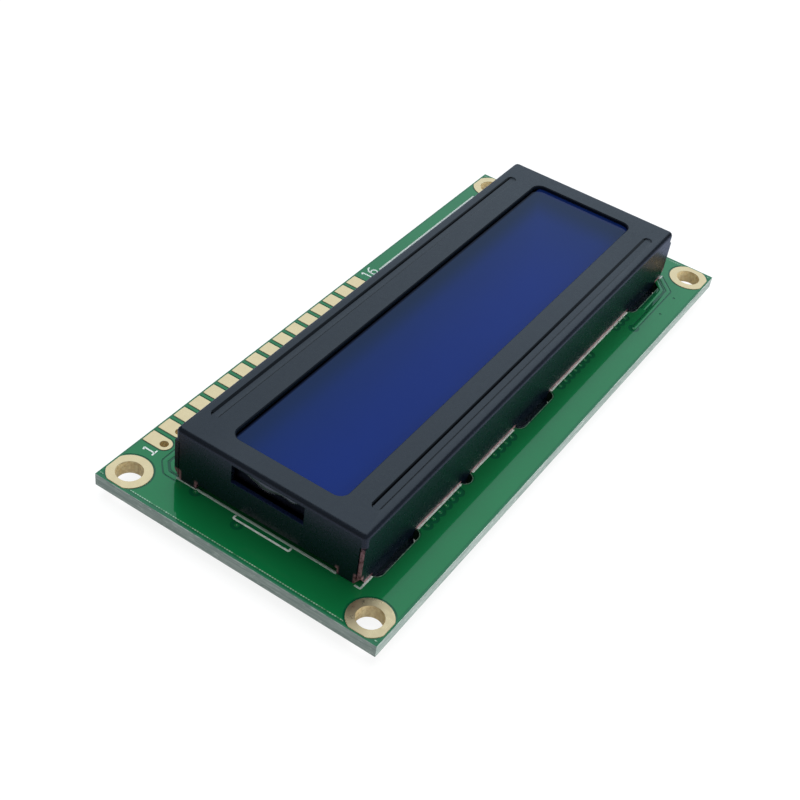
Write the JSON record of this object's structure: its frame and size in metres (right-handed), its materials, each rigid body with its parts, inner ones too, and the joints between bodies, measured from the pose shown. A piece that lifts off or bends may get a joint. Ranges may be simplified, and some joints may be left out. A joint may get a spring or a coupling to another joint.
{
  "type": "character lcd module",
  "caption": "Two-row character display module: dark blue screen in a black pressed-steel bezel on a green circuit board with corner mounting holes and a terminal row.",
  "frame": {"origin": "centre of the four mounting holes' pattern, on the board's front face", "axes": "+X along the board's long side, from terminal 1 towards terminal 16; +Y across the board towards the terminal row; +Z out of the board's front, the way the screen faces"},
  "size_m": [0.08, 0.036, 0.0103],
  "materials": {
    "board_lacquer": "green solder mask on glass epoxy",
    "gold_plating": "thin matte gold over copper",
    "bezel_paint": "satin black paint on steel sheet",
    "polariser_film": "dark blue, clear hard coat",
    "cell_glass": "clear plate glass",
    "seal_resin": "glossy clear grey resin",
    "contact_rubber": "silicone rubber with conducting layers",
    "diffuser_film": "milky film",
    "guide_acrylic": "clear acrylic",
    "reflector_film": "white film",
    "strip_board": "white lacquer on glass epoxy",
    "led_body": "white plastic with a yellow lens",
    "tinned_lead": "tinned",
    "solder": "bright solder",
    "chip_resin": "black epoxy",
    "resistor_body": "black glaze with tinned ends",
    "capacitor_body": "tan ceramic with tinned ends"
  },
  "bodies": {
    "root": {"circuit_board": "board_lacquer", "bezel": "bezel_paint", "front_polariser": "polariser_film", "front_glass": "cell_glass", "rear_glass": "cell_glass", "rear_polariser": "polariser_film", "end_seal": "seal_resin", "contact_strip_1": "contact_rubber", "contact_strip_2": "contact_rubber", "diffuser_film": "diffuser_film", "light_guide": "guide_acrylic", "reflector_film": "reflector_film", "led_strip_board": "strip_board", "backlight_led_1": "led_body", "backlight_led_2": "led_body", "backlight_led_3": "led_body", "backlight_lead_1": "tinned_lead", "backlight_lead_2": "tinned_lead", "lead_solder_1": "solder", "lead_solder_2": "solder", "controller_dome": "chip_resin", "driver_dome": "chip_resin", "chip_resistor_1": "resistor_body", "chip_resistor_2": "resistor_body", "chip_resistor_3": "resistor_body", "chip_resistor_4": "resistor_body", "chip_resistor_5": "resistor_body", "chip_resistor_6": "resistor_body", "chip_resistor_7": "resistor_body", "chip_capacitor_1": "capacitor_body", "chip_capacitor_2": "capacitor_body", "chip_capacitor_3": "capacitor_body", "chip_solder": "solder"}
  },
  "joints": []
}
